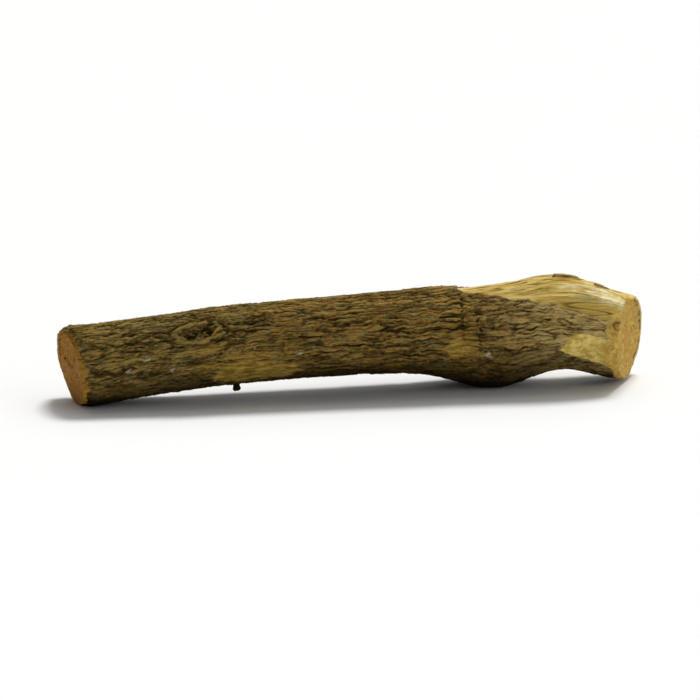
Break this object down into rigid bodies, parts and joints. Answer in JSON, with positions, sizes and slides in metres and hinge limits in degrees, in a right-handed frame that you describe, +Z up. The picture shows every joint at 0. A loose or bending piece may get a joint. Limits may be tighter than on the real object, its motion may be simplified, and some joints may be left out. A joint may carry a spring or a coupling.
{
  "type": "miswak stick",
  "caption": "Cut length of miswak branch in furrowed bark, round and gently arched, with a swollen node, a side stripped to pale wood and two slanting cut ends.",
  "frame": {"origin": "on the surface the stick lies on, under the middle of its box", "axes": "+X along the stick from its thin end to its thick end, +Z up, -Y the side with the eye-shaped knot"},
  "size_m": [0.1138, 0.0188, 0.0211],
  "materials": {
    "bark": "dry furrowed grey-brown bark, matt",
    "wood": "raw split pale yellow wood, matt"
  },
  "bodies": {
    "root": {"miswak_stick": "bark"}
  },
  "joints": []
}
